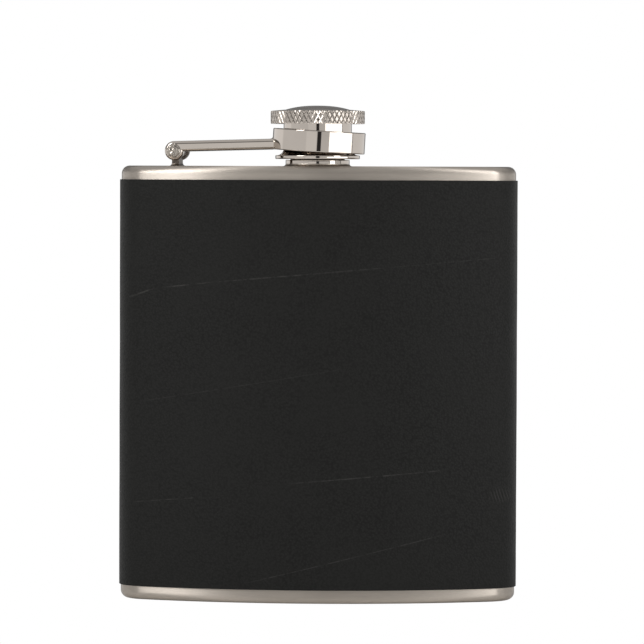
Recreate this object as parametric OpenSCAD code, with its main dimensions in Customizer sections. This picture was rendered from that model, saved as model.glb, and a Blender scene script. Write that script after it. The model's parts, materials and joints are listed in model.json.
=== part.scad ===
// Hip flask with a captive screw cap.
// Origin: middle of the base. +Z is up, the convex front faces -Y, the hollow back faces +Y.

/* [Body] */
// Width of the steel body across its rounded ends
body_w = 94.8; // [79:0.2:114]
// Height from the base to the top plate
body_h = 104; // [80:1:140]
// Radius of the convex front
front_r = 100; // [85:1:130]
// Radius of the hollow back
back_r = 160; // [130:1:220]
// Radius of the two rounded ends
end_r = 9; // [7.5:0.1:11]
// Thickness of the shell's steel sheet
shell_t = 0.6; // [0.5:0.05:1]

/* [End plates] */
// Thickness of the pressed steel of the two end plates
plate_t = 0.7; // [0.5:0.05:1]
// Height of the plates' rims, up to the seam with the shell
rim_h = 4.2; // [3.2:0.1:6]
// Outer radius of the plates' rolled edge
edge_r = 1.9; // [1.4:0.1:2.6]

/* [Wrap] */
// Thickness of the leatherette
wrap_t = 0.4; // [0.3:0.05:0.8]
// How far the leatherette laps over each plate's rim
wrap_lap = 0.9; // [0.4:0.1:2]

/* [Neck] */
// Radius over the crests of the neck's thread
thread_r = 6.9; // [5.7:0.05:8.3]
// Depth of the thread
thread_d = 0.55; // [0.4:0.05:0.6]
// Pitch of the thread
thread_p = 1.5; // [1.25:0.05:2]
// Wall of the neck under its thread
neck_t = 1.05; // [0.8:0.05:1.5]
// Height of the neck above the top plate
neck_h = 9; // [7.5:0.1:11]
// Step out from the thread's crest to the neck's plain shoulder
shoulder_step = 0.75; // [0.6:0.05:1]
// Height of the shoulder above the top plate
shoulder_h = 1.5; // [1:0.1:2.5]

/* [Cap] */
// Wall of the threaded liner
liner_t = 0.5; // [0.4:0.05:0.8]
// Wall of the cap's barrel
barrel_t = 0.6; // [0.4:0.05:0.8]
// How far the flared lip stands out from the barrel, past the ring's bore
lip_reach = 1.95; // [1.75:0.05:2.4]
// Thickness of the flared lip
lip_t = 0.9; // [0.6:0.05:1.2]
// Radius of the flare from the barrel to the lip
flare_r = 1.6; // [1:0.1:1.7]
// How far the knurled collar stands out from the barrel
collar_reach = 3.1; // [2.6:0.05:3.8]
// Height of the knurled collar
collar_h = 3.35; // [2.7:0.05:4.1]
// Thickness of the barrel's closed top under the crown
roof_t = 1.9; // [1.5:0.1:2.5]
// Rise of the domed crown
crown_rise = 1; // [0.5:0.1:1.3]
// Thickness of the sealing disc
gasket_t = 1.5; // [1:0.1:2]

/* [Ring and arm] */
// Wall of the captive ring
ring_t = 1.8; // [1.5:0.1:2.2]
// Height of the captive ring
ring_h = 5.1; // [4.2:0.05:6.2]
// Tilt of the ring, down away from the hinge, in degrees
ring_tilt = 3.2; // [0:0.1:3.8]
// Width of the arm's strap
strap_w = 9; // [7.5:0.1:10.8]
// Thickness of the arm's strap
strap_t = 2.55; // [2:0.05:3.1]
// Rise of the strap towards the ring, in degrees
strap_rise = 1.5; // [0.5:0.1:2.5]

/* [Hinge] */
// Distance of the hinge pin from the end of the body
hinge_inset = 13.5; // [12.5:0.5:18]
// Height of the hinge pin above the top plate
pin_z = 3.6; // [3.2:0.1:4.5]
// Radius of the hinge pin
pin_r = 0.65; // [0.5:0.05:0.9]
// Radius of the pin's peened heads
head_r = 1.7; // [1.2:0.05:2]
// Height of the pin's peened heads
head_h = 0.3; // [0.2:0.05:0.5]
// Radius of the two knuckles on the arm
knuckle_r = 2.3; // [2:0.1:2.6]
// Thickness of each knuckle
cheek_t = 1.9; // [1.4:0.1:2.3]
// Width of the post's foot, along the arm
post_w = 1.7; // [1.4:0.1:3]
// Radius of the post's eye
eye_r = 1.8; // [1.4:0.1:2]

/* [Clearances] */
// Radial gap between the barrel and the captive ring's bore
ring_play = 1.1; // [0.9:0.05:1.3]
// How far the ring hangs off the barrel's axis, away from the hinge
ring_shift = 0.3; // [0:0.05:0.5]
// Gap between the low side of the ring and the lip under it
ring_gap = 0.2; // [0.15:0.05:0.4]
// Gap between the hinge pin and the post's eye
pin_gap = 0.05; // [0.02:0.01:0.1]
// Gap on each side of the post, between the knuckles
cheek_gap = 0.12; // [0.05:0.01:0.3]
// Radial gap between the neck's thread and the liner's
thread_gap = 0.15; // [0.1:0.01:0.15]
// Gap between the sealing disc and the neck's rim
seal_gap = 0.05; // [0.02:0.01:0.2]
// Gap between the cap's lip and the neck's shoulder
lip_gap = 0.2; // [0.1:0.05:0.4]
// Gap between the neck's spigot and the hole in the top plate
spigot_gap = 0.05; // [0.02:0.01:0.1]

/* [Hidden] */
$fn = 96;
weld_w = 0.6; // leg of each brazed fillet
spigot_drop = 0.7; // the neck's spigot below the top plate
spigot_step = 0.55; // step in from the shoulder to the spigot
liner_roof = 1; // web of the liner over the sealing disc
liner_inset = 0.7; // the liner's mouth, up inside the barrel's
slot_end = 0.9; // room past the post in the slot between the knuckles
collar_gap = 0.8; // least gap between the ring's high side and the knurled collar
ring_bevel = 0.3; // bevel on the ring's four edges
collar_bevel = 0.3; // rise of the collar's sloping top
ridge_base = 0.8; // width of a thread ridge at its root
ridge_tip = 0.3; // width of a thread ridge at its crest
lead_in = 0.45; // chamfer at the neck's rim

// Outline: a convex front arc, a hollow back arc and two end arcs, each tangent to the next.
end_x = body_w / 2 - end_r;
front_sweep = asin(end_x / (front_r - end_r));
back_sweep = asin(end_x / (back_r + end_r));
end_drop = front_r - (front_r - end_r) * cos(front_sweep); // from the front apex to the end arcs' centres
body_t = end_drop - back_r + (back_r + end_r) * cos(back_sweep); // thickness at the middle
front_y = -(end_drop + end_r) / 2; // front apex
end_y = front_y + end_drop;
front_c = front_y + front_r; // centre of the front arc
back_c = front_y + body_t + back_r; // centre of the back arc

neck_y = front_y + body_t / 2;
hinge_x = -(body_w / 2 - hinge_inset);
hinge_y = (front_c - sqrt(front_r ^ 2 - hinge_x ^ 2) + back_c - sqrt(back_r ^ 2 - hinge_x ^ 2)) / 2;
arm_len = norm([hinge_x, hinge_y - neck_y]); // from the pin to the neck's axis
arm_turn = -atan2(hinge_y - neck_y, -hinge_x); // heading of the arm, seen from above

// The neck and its thread
bore_r = thread_r - thread_d - neck_t;
shoulder_r = thread_r + shoulder_step;
spigot_r = shoulder_r - spigot_step;
lip_z = shoulder_h + lip_gap;
liner_z = lip_z + liner_inset;
thread_top = neck_h - lead_in - 0.3;
thread_turns = floor((thread_top - liner_z - ridge_base) / thread_p);
thread_z = thread_top - thread_turns * thread_p; // foot of the thread

// The hinge
post_t = strap_w - 2 * (cheek_t + cheek_gap); // post's width along the pin
slot_x = max(eye_r, post_w / 2) + slot_end; // end of the slot between the knuckles

// The ring round the barrel, and the cap's length over both the ring and the neck
barrel_r = thread_r + thread_gap + liner_t + barrel_t;
cap_bore_r = barrel_r - barrel_t;
lip_r = barrel_r + lip_reach;
collar_r = barrel_r + collar_reach;
ring_x = arm_len + ring_shift; // from the pin to the ring's middle
ring_r = barrel_r + ring_play + ring_t;
ring_rise = ring_r * sin(ring_tilt); // the ring's high side over its middle
ring_z = lip_z + lip_t + ring_gap + ring_rise + ring_h / 2;
seal_z = neck_h + seal_gap;
liner_top = seal_z + gasket_t + liner_roof;
collar_top = max(liner_top + roof_t, ring_z + ring_h / 2 + ring_rise + collar_gap + collar_h);
collar_z = collar_top - collar_h;
steel = [0.68, 0.65, 0.62];
bright = [0.78, 0.76, 0.73];

// Points on an arc from one heading to another, short of the last, which the next arc starts from.
function arc_points(centre, r, from, to, steps) = [
    for (i = [0 : steps - 1]) let (a = from + (to - from) * i / steps) centre + r * [cos(a), sin(a)]
];

// The body's outline, drawn in by a distance. Each end is cut at its outermost point.
function outline_points(inset) = let (r = end_r - inset, right = [end_x, end_y], left = [-end_x, end_y])
    concat(
        arc_points([0, front_c], front_r - inset, -90 - front_sweep, front_sweep - 90, 36),
        arc_points(right, r, front_sweep - 90, 0, 5),
        arc_points(right, r, 0, 90 + back_sweep, 8),
        arc_points([0, back_c], back_r + inset, back_sweep - 90, -90 - back_sweep, 28),
        arc_points(left, r, 90 - back_sweep, 180, 8),
        arc_points(left, r, 180, 270 - front_sweep, 5)
    );

// Section of a pressed plate as [inset, height] points: rolled corner, upright rim, then back inside.
function plate_section(steps) = concat(
    [for (i = [0 : steps]) edge_r * [1 - sin(90 * i / steps), 1 - cos(90 * i / steps)]],
    [[0, rim_h], [plate_t, rim_h]],
    [
        for (i = [steps : -1 : 0])
            [edge_r, edge_r] - (edge_r - plate_t) * [sin(90 * i / steps), cos(90 * i / steps)]
    ]
);

// Each outline point's partner on the neck's hole, at equal steps round it.
function hole_points(n) = let (first = outline_points(edge_r)[0] - [0, neck_y])
    arc_points([0, neck_y], spigot_r + spigot_gap, atan2(first[1], first[0]) - 360,
        atan2(first[1], first[0]), n);

// A tube of the outline between two insets.
module outline_tube(outer, inner, h) {
    linear_extrude(h) difference() {
        polygon(outline_points(outer));
        polygon(outline_points(inner));
    }
}

// A pressed end plate with its flat side down: its section carried round the outline. With a hole,
// the flat runs on to the hole's edge; without one, a face closes it on each side.
module pressed_plate(hole) {
    section = plate_section(4);
    n = len(outline_points(0));
    inner = hole_points(n);
    sweep = [for (p = section) [for (q = outline_points(p[0])) [q[0], q[1], p[1]]]];
    edges = hole ? [for (z = [plate_t, 0]) [for (q = inner) [q[0], q[1], z]]] : [];
    rings = concat(sweep, edges);
    last = len(rings) - 1;
    caps = hole ? [] : [[for (i = [0 : n - 1]) i], [for (i = [n - 1 : -1 : 0]) last * n + i]];
    polyhedron(
        points = [for (ring = rings) each ring],
        faces = concat(caps, [
            for (k = [0 : hole ? last : last - 1], i = [0 : n - 1])
                let (j = (i + 1) % n, up = (k + 1) % len(rings))
                [k * n + i, up * n + i, up * n + j, k * n + j]
        ])
    );
}

// Section of a fillet in the corner between the x and y axes.
module fillet_section(leg) {
    difference() {
        square(leg);
        translate([leg, leg]) circle(leg, $fn = 48);
    }
}

// Puts a piece on the neck's axis, with z = 0 on the top plate.
module at_neck() {
    translate([0, neck_y, body_h]) children();
}

// Puts a piece in the arm's frame: x runs from the pin to the cap, y along the pin, z = 0 on the plate.
module at_hinge() {
    translate([hinge_x, hinge_y, body_h]) rotate(arm_turn) children();
}

// Puts a piece in the ring's own frame, tilted with it.
module at_ring() {
    at_hinge() translate([ring_x, 0, ring_z]) rotate([0, ring_tilt, 0]) children();
}

// Section of one thread ridge, with its root on the y axis and its crest towards +x.
module ridge_section() {
    polygon([
        [-0.1, -ridge_base / 2], [0, -ridge_base / 2], [thread_d, -ridge_tip / 2],
        [thread_d, ridge_tip / 2], [0, ridge_base / 2], [-0.1, ridge_base / 2]
    ]);
}

// Side view of the strap, running into a knuckle round the pin.
module strap_side() {
    circle(knuckle_r);
    rotate(strap_rise) translate([0, knuckle_r - strap_t]) square([arm_len, strap_t]);
}

module body_shell() {
    color(steel) translate([0, 0, rim_h]) outline_tube(0, shell_t, body_h - 2 * rim_h);
}

module top_plate() {
    color(steel) translate([0, 0, body_h]) mirror([0, 0, 1]) pressed_plate(true);
}

module bottom_plate() {
    color(steel) pressed_plate(false);
}

module leather_wrap() {
    foot = rim_h - wrap_lap;
    color([0.13, 0.13, 0.12]) translate([0, 0, foot]) outline_tube(-wrap_t, 0, body_h - 2 * foot);
}

module neck() {
    color(bright) at_neck() rotate_extrude() difference() {
        union() {
            translate([bore_r, -plate_t - spigot_drop])
                square([spigot_r - bore_r, plate_t + spigot_drop]);
            translate([bore_r, 0]) square([shoulder_r - bore_r, shoulder_h]);
            translate([bore_r, 0]) square([thread_r - thread_d - bore_r, neck_h]);
            for (turn = [0 : thread_turns - 1])
                translate([thread_r - thread_d, thread_z + (turn + 0.5) * thread_p]) ridge_section();
        }
        polygon([
            [bore_r - 1, neck_h + 1], [bore_r - 1, neck_h - lead_in], [bore_r, neck_h - lead_in],
            [bore_r + lead_in / 2, neck_h], [bore_r + lead_in / 2, neck_h + 1]
        ]);
    }
}

module neck_weld() {
    color(bright) at_neck() rotate_extrude() translate([shoulder_r, 0]) fillet_section(weld_w);
}

module hinge_post() {
    color(bright) at_hinge() translate([0, post_t / 2, 0]) rotate([90, 0, 0])
        linear_extrude(post_t) difference() {
            union() {
                translate([-post_w / 2, 0]) square([post_w, pin_z]);
                translate([0, pin_z]) circle(eye_r);
            }
            translate([0, pin_z]) circle(pin_r + pin_gap);
        }
}

module post_weld() {
    half = [post_w / 2, post_t / 2];
    color(bright) at_hinge() for (turn = [0 : 3]) rotate(90 * turn) {
        across = half[turn % 2];
        along = half[(turn + 1) % 2];
        translate([across, along, 0]) rotate([90, 0, 0])
            linear_extrude(2 * along) fillet_section(weld_w);
        translate([across, along, 0]) rotate_extrude(angle = 90) fillet_section(weld_w);
    }
}

module hinge_arm() {
    slot_w = post_t + 2 * cheek_gap;
    color(bright) difference() {
        at_hinge() translate([0, 0, pin_z]) difference() {
            translate([0, strap_w / 2, 0]) rotate([90, 0, 0]) linear_extrude(strap_w) difference() {
                strap_side();
                circle(pin_r);
            }
            translate([-2 * knuckle_r, -slot_w / 2, -2 * knuckle_r])
                cube([2 * knuckle_r + slot_x, slot_w, 4 * knuckle_r]);
        }
        at_ring() cylinder(h = 4 * ring_h, r = ring_r, center = true);
    }
}

module captive_ring() {
    color(bright) at_ring() rotate_extrude() translate([ring_r - ring_t, -ring_h / 2]) polygon([
        [ring_bevel, 0], [ring_t - ring_bevel, 0], [ring_t, ring_bevel],
        [ring_t, ring_h - ring_bevel], [ring_t - ring_bevel, ring_h], [ring_bevel, ring_h],
        [0, ring_h - ring_bevel], [0, ring_bevel]
    ]);
}

module ring_weld() {
    half_turn = asin((strap_w / 2 - 0.4) / ring_r);
    strap_top = pin_z + knuckle_r / cos(strap_rise) + (ring_x - ring_r) * tan(strap_rise) - ring_z;
    foot_z = strap_top / cos(ring_tilt) - ring_r * tan(ring_tilt);
    color(bright) difference() {
        at_ring() rotate(180 - half_turn) rotate_extrude(angle = 2 * half_turn)
            translate([ring_r, foot_z - weld_w]) polygon([[0, 0], [1.2 * weld_w, 0], [0, 2 * weld_w]]);
        at_hinge() translate([0, 0, pin_z]) translate([0, strap_w / 2, 0]) rotate([90, 0, 0])
            linear_extrude(strap_w) strap_side();
    }
}

module hinge_pin() {
    color(steel) at_hinge() translate([0, 0, pin_z]) rotate([90, 0, 0]) {
        cylinder(h = strap_w + 2 * head_h, r = pin_r, center = true);
        for (side = [-1, 1]) translate([0, 0, side * (strap_w + head_h) / 2])
            cylinder(h = head_h, r = head_r, center = true);
    }
}

module cap_thimble() {
    crown_r = (barrel_r ^ 2 + crown_rise ^ 2) / (2 * crown_rise);
    color(bright) at_neck() rotate_extrude() difference() {
        union() {
            translate([cap_bore_r, lip_z]) square([lip_r - cap_bore_r, lip_t]);
            translate([cap_bore_r, lip_z]) square([barrel_t, collar_top - lip_z]);
            translate([barrel_r, lip_z + lip_t]) fillet_section(flare_r);
            translate([0, liner_top]) square([barrel_r, collar_top - liner_top]);
            translate([0, collar_top]) intersection() {
                translate([0, crown_rise - crown_r]) circle(crown_r, $fn = 360);
                square([barrel_r, crown_rise + 1]);
            }
        }
        // Lead-in at the mouth of the barrel.
        translate([0, lip_z - 1]) polygon([
            [0, 0], [cap_bore_r + 0.3, 0], [cap_bore_r + 0.3, 1], [cap_bore_r, 1.3], [0, 1.3]
        ]);
    }
}

module knurled_collar() {
    color(bright) at_neck() translate([0, 0, collar_z]) rotate_extrude() polygon([
        [barrel_r, 0], [collar_r - 0.15, 0], [collar_r, 0.15],
        [collar_r, collar_h - collar_bevel], [barrel_r, collar_h]
    ]);
}

module thread_liner() {
    wall_r = thread_r + thread_gap;
    color([0.85, 0.84, 0.8]) at_neck() rotate_extrude() difference() {
        translate([0, liner_z]) square([cap_bore_r, liner_top - liner_z]);
        difference() {
            translate([0, liner_z - 1]) square([wall_r, seal_z + gasket_t - liner_z + 1]);
            for (turn = [0 : thread_turns - 1])
                translate([wall_r, thread_z + turn * thread_p]) mirror([1, 0]) ridge_section();
        }
    }
}

module cap_gasket() {
    color([0.75, 0.74, 0.7]) at_neck() translate([0, 0, seal_z])
        cylinder(h = gasket_t, r = thread_r + thread_gap);
}

body_shell();
top_plate();
bottom_plate();
leather_wrap();
neck();
neck_weld();
hinge_post();
post_weld();
hinge_arm();
captive_ring();
ring_weld();
hinge_pin();
cap_thimble();
knurled_collar();
thread_liner();
cap_gasket();
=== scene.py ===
"""Curved hip flask in a leatherette wrap, with a screw cap held captive on a hinged arm.

Builds the flask's finished surfaces round its CAD frame: pressed plates, wrap, threaded neck, arm, ring,
knurled cap and seal, each with its own material, and a plain studio to show them in.
Lengths are in metres. The convex front faces -Y and +Z is up.
"""
import json
from math import asin, atan2, ceil, cos, degrees, floor, pi, radians, sin, sqrt, tan

import bmesh
import bpy
from mathutils import Euler, Matrix, Vector, noise


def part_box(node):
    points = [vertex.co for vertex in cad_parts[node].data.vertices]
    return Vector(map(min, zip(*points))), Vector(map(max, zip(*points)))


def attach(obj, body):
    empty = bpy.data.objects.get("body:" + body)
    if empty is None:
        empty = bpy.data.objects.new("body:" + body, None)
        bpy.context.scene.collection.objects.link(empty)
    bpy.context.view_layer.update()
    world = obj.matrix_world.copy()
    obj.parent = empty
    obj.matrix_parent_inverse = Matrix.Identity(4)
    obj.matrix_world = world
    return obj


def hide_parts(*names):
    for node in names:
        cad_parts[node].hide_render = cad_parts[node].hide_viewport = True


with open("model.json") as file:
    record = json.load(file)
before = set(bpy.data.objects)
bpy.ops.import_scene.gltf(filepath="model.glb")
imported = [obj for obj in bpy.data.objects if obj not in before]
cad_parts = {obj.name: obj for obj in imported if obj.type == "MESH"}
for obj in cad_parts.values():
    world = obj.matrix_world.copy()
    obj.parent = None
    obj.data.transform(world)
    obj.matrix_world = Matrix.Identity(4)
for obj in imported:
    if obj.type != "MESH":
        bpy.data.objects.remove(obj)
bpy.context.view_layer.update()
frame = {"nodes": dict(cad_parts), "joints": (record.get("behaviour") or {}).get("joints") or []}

bl_info = {
    "name": "Hip flask finisher",
    "version": (1, 0, 0),
    "blender": (4, 5, 0),
    "location": "View3D > Sidebar > Flask",
    "description": "Builds a curved hip flask's finished surfaces, materials and studio round its CAD frame",
    "category": "Add Mesh",
}

MM = 0.001
SHELL_LOW, SHELL_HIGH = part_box("body_shell")
PLATE_LOW, PLATE_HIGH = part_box("bottom_plate")
WRAP_LOW, WRAP_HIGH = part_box("leather_wrap")
NECK_LOW, NECK_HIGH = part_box("neck")
LIP_LOW, CROWN_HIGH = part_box("cap_thimble")
COLLAR_LOW, COLLAR_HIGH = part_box("knurled_collar")
LINER_LOW, LINER_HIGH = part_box("thread_liner")
SEAL_LOW, SEAL_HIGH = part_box("cap_gasket")
RING_LOW, RING_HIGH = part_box("captive_ring")
BODY_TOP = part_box("top_plate")[1].z
HINGE = next(joint for joint in frame["joints"] if joint["name"] == "arm_swing")
PIN = Vector(HINGE["pos_m"])
PIN_AXIS = Vector(HINGE["axis"])
NECK_AXIS = (NECK_LOW + NECK_HIGH) / 2
ALONG_PIN = Matrix.Rotation(radians(90), 4, "X")  # lays a turned solid's axis along the hinge pin
SAME = 1e-9  # two lengths that differ by less are the same
THREAD_STEP = 0.07 * MM  # height of one row of points on the neck's thread
SOFTENED = 0.3  # how far in the middle of a softened edge lies, as a share of the edge's rounding


# Sizes and colours that a user would change

def size(label, text, value, low=0.0):
    """A length property."""
    return bpy.props.FloatProperty(name=label, description=text, default=value, min=low, unit="LENGTH",
                                   precision=5)


def angle(label, text, value):
    """An angle property, given in degrees."""
    return bpy.props.FloatProperty(name=label, description=text, default=radians(value), unit="ROTATION")


def share(label, text, value, high=1.0):
    """A plain factor."""
    return bpy.props.FloatProperty(name=label, description=text, default=value, min=0.0, max=high)


def linear(code):
    """An sRGB hex colour as linear red, green and blue."""
    parts = [int(code[i:i + 2], 16) / 255 for i in (0, 2, 4)]
    return [c / 12.92 if c <= 0.04045 else ((c + 0.055) / 1.055) ** 2.4 for c in parts]


def colour(label, text, code):
    """A colour property, given as sRGB hex."""
    return bpy.props.FloatVectorProperty(name=label, description=text, default=linear(code), subtype="COLOR",
                                         size=3, min=0.0, max=1.0)


class FlaskBody(bpy.types.PropertyGroup):
    """Sizes of the body, its plates and its wrap."""
    front_r: size("Front radius", "Radius of the convex front", 100 * MM)
    back_r: size("Back radius", "Radius of the hollow back", 160 * MM)
    end_r: size("End radius", "Radius of the rounded ends", 9 * MM)
    edge_r: size("Rolled edge", "Outer radius of the plates' rolled edge", 1.9 * MM)
    plate_t: size("Plate thickness", "Thickness of the pressed plates", 0.7 * MM)
    plate_lip: size("Rim's edge", "Rounding of the plates' sheared edge", 0.12 * MM)
    wrap_edge: size("Wrap's edge", "Rounding of the leatherette's cut edge", 0.12 * MM)
    wrap_seam: size("Seam gap", "Gap of the butt seam down the back", 0.3 * MM)
    wrap_lift: size("Seam lift", "How far the glued edges stand up at the seam", 0.06 * MM)
    wrap_wave: size("Unevenness", "Height of the soft unevenness of the glued wrap", 0.035 * MM)


class FlaskNeck(bpy.types.PropertyGroup):
    """Sizes of the threaded neck."""
    bore_r: size("Bore", "Radius of the pouring bore", 5.3 * MM)
    spigot_r: size("Spigot", "Radius of the part that sits in the plate's hole", 7.1 * MM)
    hole_gap: size("Hole gap", "Gap between the spigot and the plate's hole", 0.05 * MM)
    thread_r: size("Thread radius", "Radius over the thread's crests", 6.9 * MM)
    thread_d: size("Thread depth", "Depth of the thread", 0.55 * MM)
    thread_p: size("Thread pitch", "Rise of the thread in one turn", 1.5 * MM)
    ridge_root: size("Ridge root", "Width of the thread's ridge at its root", 0.8 * MM)
    ridge_crest: size("Ridge crest", "Width of the thread's ridge at its crest", 0.3 * MM)
    turns: share("Thread turns", "Turns of the thread", 3.4, 6)
    thread_z: size("Thread start", "Height of the thread's lower end above the plate", 2.7 * MM)
    shoulder_h: size("Shoulder", "Height of the plain shoulder", 1.5 * MM)
    lead_in: size("Lead-in", "Chamfer at the rim", 0.45 * MM)
    weld: size("Weld", "Leg of the brazed fillets", 0.6 * MM)


class FlaskCap(bpy.types.PropertyGroup):
    """Sizes of the cap."""
    barrel_r: size("Barrel", "Outer radius of the cap's barrel", 8.15 * MM)
    barrel_t: size("Barrel wall", "Wall of the barrel", 0.6 * MM)
    lip_t: size("Lip", "Thickness of the flared lip", 0.9 * MM)
    flare_r: size("Flare", "Radius of the flare between barrel and lip", 1.6 * MM)
    crown_r: size("Crown", "Radius of the domed crown's edge", 7.6 * MM)
    crown_step: size("Crown step", "Height of the crown's edge above the collar", 0.06 * MM)
    fullness: share("Crown fullness", "2 for a round dome, more for a flatter top", 2.4, 6)
    slope: size("Collar slope", "Rise of the collar's sloping top", 0.3 * MM)
    edge: size("Edge rounding", "Rounding of the turned edges", 0.14 * MM)
    knurl_count: bpy.props.IntProperty(name="Knurl diamonds", description="Diamonds round the collar",
                                       default=62, min=24)
    knurl_d: size("Knurl depth", "Depth of the diamond knurl", 0.11 * MM)
    knurl_lean: angle("Knurl angle", "Lean of the knurl's grooves from the axis", 27)
    liner_wall: size("Liner wall", "Wall of the liner between its threads", 0.25 * MM)
    liner_gap: size("Liner gap", "Radial gap from the neck's crests to the liner's", 0.06 * MM)
    liner_roof: size("Liner roof", "Web of the liner over the sealing disc", 1 * MM)
    seal_mark: size("Seal mark", "Depth of the ring that the neck's rim presses into the disc", 0.04 * MM)


class FlaskArm(bpy.types.PropertyGroup):
    """Sizes of the hinge, the arm and the ring."""
    ring_r: size("Ring", "Outer radius of the captive ring", 11.05 * MM)
    ring_t: size("Ring wall", "Wall of the captive ring", 1.8 * MM)
    ring_h: size("Ring height", "Height of the captive ring", 5.1 * MM)
    ring_shift: size("Ring shift", "Shift of the ring off the cap's axis, away from the hinge", 0.3 * MM)
    ring_edge: size("Ring edge", "Rounding of the ring's edges", 0.24 * MM)
    ring_tilt: angle("Ring tilt", "Tilt of the ring, down away from the hinge", 3.2)
    strap_w: size("Strap width", "Width of the arm's strap", 9 * MM)
    strap_t: size("Strap thickness", "Thickness of the arm's strap", 2.55 * MM)
    strap_rise: angle("Strap rise", "Rise of the strap towards the ring", 1.5)
    strap_edge: size("Strap edge", "Rounding of the strap's long edges", 0.8 * MM)
    knuckle_r: size("Knuckle", "Radius of the two knuckles", 2.3 * MM)
    cheek_t: size("Cheek", "Thickness of each knuckle", 1.9 * MM)
    cheek_gap: size("Cheek gap", "Gap on each side of the post", 0.12 * MM)
    post_w: size("Post width", "Width of the post's foot, along the arm", 1.7 * MM)
    post_edge: size("Post edge", "Rounding of the post's edges", 0.15 * MM)
    eye_r: size("Eye", "Radius of the post's eye", 1.8 * MM)
    pin_r: size("Pin", "Radius of the hinge pin", 0.65 * MM)
    pin_gap: size("Pin gap", "Gap between the pin and the post's eye", 0.05 * MM)
    head_r: size("Pin head", "Radius of the pin's peened heads", 1.7 * MM)
    head_h: size("Head height", "Height of the pin's peened heads", 0.3 * MM)
    dents: size("Dents", "Depth of the hammer dents on the pin's heads", 0.1 * MM)


class FlaskFinish(bpy.types.PropertyGroup):
    """Colours of the materials."""
    satin: colour("Satin steel", "Brushed stainless steel of the plates", "C3BAB0")
    polished: colour("Polished steel", "Polished stainless steel of the cap and arm", "CDC4BB")
    braze: colour("Braze", "Silver braze", "C7BFB5")
    pin: colour("Pin steel", "Peened steel of the hinge pin", "BDB5AB")
    leather: colour("Leatherette", "Face of the leatherette", "1D1D1C")
    backing: colour("Backing", "Cloth backing of the leatherette", "4A4845")
    liner: colour("Liner", "Moulded liner", "DEDBD2")
    rubber: colour("Seal", "Silicone sealing disc", "C9C5BB")
    # Painted shade: dark colour for the hinge post and its braze, which sit in shade between the knuckles
    # and under the arm.
    stain: colour("Heat stain", "Steel and braze darkened by the flame", "6F675F")
    scuff: colour("Scuffs", "Hairline scuffs on the leatherette", "8A8884")
    floor: colour("Floor", "Painted studio floor", "F6F6F5")


class FlaskStudio(bpy.types.PropertyGroup):
    """The camera and the lights."""
    distance: size("Camera distance", "Distance from the flask's axis to the camera", 1191 * MM)
    height: size("Camera height", "Height of the camera above the base", 103.7 * MM)
    aside: size("Camera aim", "Sideways place of the point that the camera faces", 1.1 * MM)
    yaw: angle("Camera yaw", "How far round to the right the camera stands", 2.38)
    pitch: angle("Camera pitch", "How far down the camera looks", 1.78)
    roll: angle("Camera roll", "Tilt of the camera about its own axis", 0.21)
    lens: bpy.props.FloatProperty(name="Lens", description="Focal length in millimetres on a 36 mm sensor",
                                  default=278.0, min=20.0)
    key: share("Key", "Radiance of the large softbox on the right", 1.75, 20)
    strip: share("Strips", "Radiance of the raised strip lights", 3.4, 20)
    room: share("Room", "Brightness of the white room", 1.0, 5)


GROUPS = (("flask_body", FlaskBody), ("flask_neck", FlaskNeck), ("flask_cap", FlaskCap),
          ("flask_arm", FlaskArm), ("flask_finish", FlaskFinish), ("flask_studio", FlaskStudio))


# Mesh making

def skin(rings, around=True, section=False, caps=False, split=None):
    """A mesh through rings of points, with one quad between each four neighbours.

    around closes each ring, section joins the last ring to the first, and caps closes what is left open.
    split says, for a ring and a point, which way a quad is cut into two triangles: 1, -1 or 0 for uncut.
    """
    mesh = bmesh.new()
    rows = [[mesh.verts.new(point) for point in ring] for ring in rings]
    count = len(rings[0])
    pairs = list(zip(rows, rows[1:])) + ([(rows[-1], rows[0])] if section else [])
    for row, (low, high) in enumerate(pairs):
        for i in range(count if around else count - 1):
            j = (i + 1) % count
            way = split(row, i) if split else 0
            if way > 0:
                mesh.faces.new((low[i], low[j], high[j]))
                mesh.faces.new((low[i], high[j], high[i]))
            elif way < 0:
                mesh.faces.new((low[i], low[j], high[i]))
                mesh.faces.new((low[j], high[j], high[i]))
            else:
                mesh.faces.new((low[i], low[j], high[j], high[i]))
    if caps and around:
        mesh.faces.new(rows[0][::-1])
        mesh.faces.new(rows[-1])
    elif caps:
        mesh.faces.new([row[0] for row in rows])
        mesh.faces.new([row[-1] for row in rows][::-1])
    bmesh.ops.remove_doubles(mesh, verts=mesh.verts, dist=1e-8)
    bmesh.ops.recalc_face_normals(mesh, faces=mesh.faces)
    return mesh


def rounded(corners, steps=5):
    """A closed outline with its corners rounded. Each corner is x, y and the radius of its rounding."""
    points = []
    for k, (x, y, r) in enumerate(corners):
        here = Vector((x, y))
        if r <= 0:
            points.append(here)
            continue
        back = (Vector(corners[k - 1][:2]) - here).normalized()
        on = (Vector(corners[(k + 1) % len(corners)][:2]) - here).normalized()
        half = back.angle(on) / 2
        centre = here + (back + on).normalized() * r / sin(half)
        first = here + back * r / tan(half) - centre
        turn = first.angle_signed(here + on * r / tan(half) - centre)
        for i in range(steps + 1):
            points.append(centre + Matrix.Rotation(-turn * i / steps, 2) @ first)
    return points


def arc(x, y, r, start, end, steps):
    """Points on an arc between two headings in degrees, both ends included."""
    turns = [radians(start + (end - start) * i / steps) for i in range(steps + 1)]
    return [Vector((x + r * cos(t), y + r * sin(t))) for t in turns]


def turned(profile, steps=144, place=Matrix(), wobble=None):
    """A turned solid: a closed outline of radius and height carried round the z axis.

    wobble gives what is added to the radius at a heading and a point of the outline.
    """
    rings = []
    for radius, height in profile:
        ring = []
        for i in range(steps):
            t = 2 * pi * i / steps
            r = radius + (wobble(t, radius, height) if wobble else 0)
            ring.append(place @ Vector((r * cos(t), r * sin(t), height)))
        rings.append(ring)
    return skin(rings, section=True)


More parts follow.
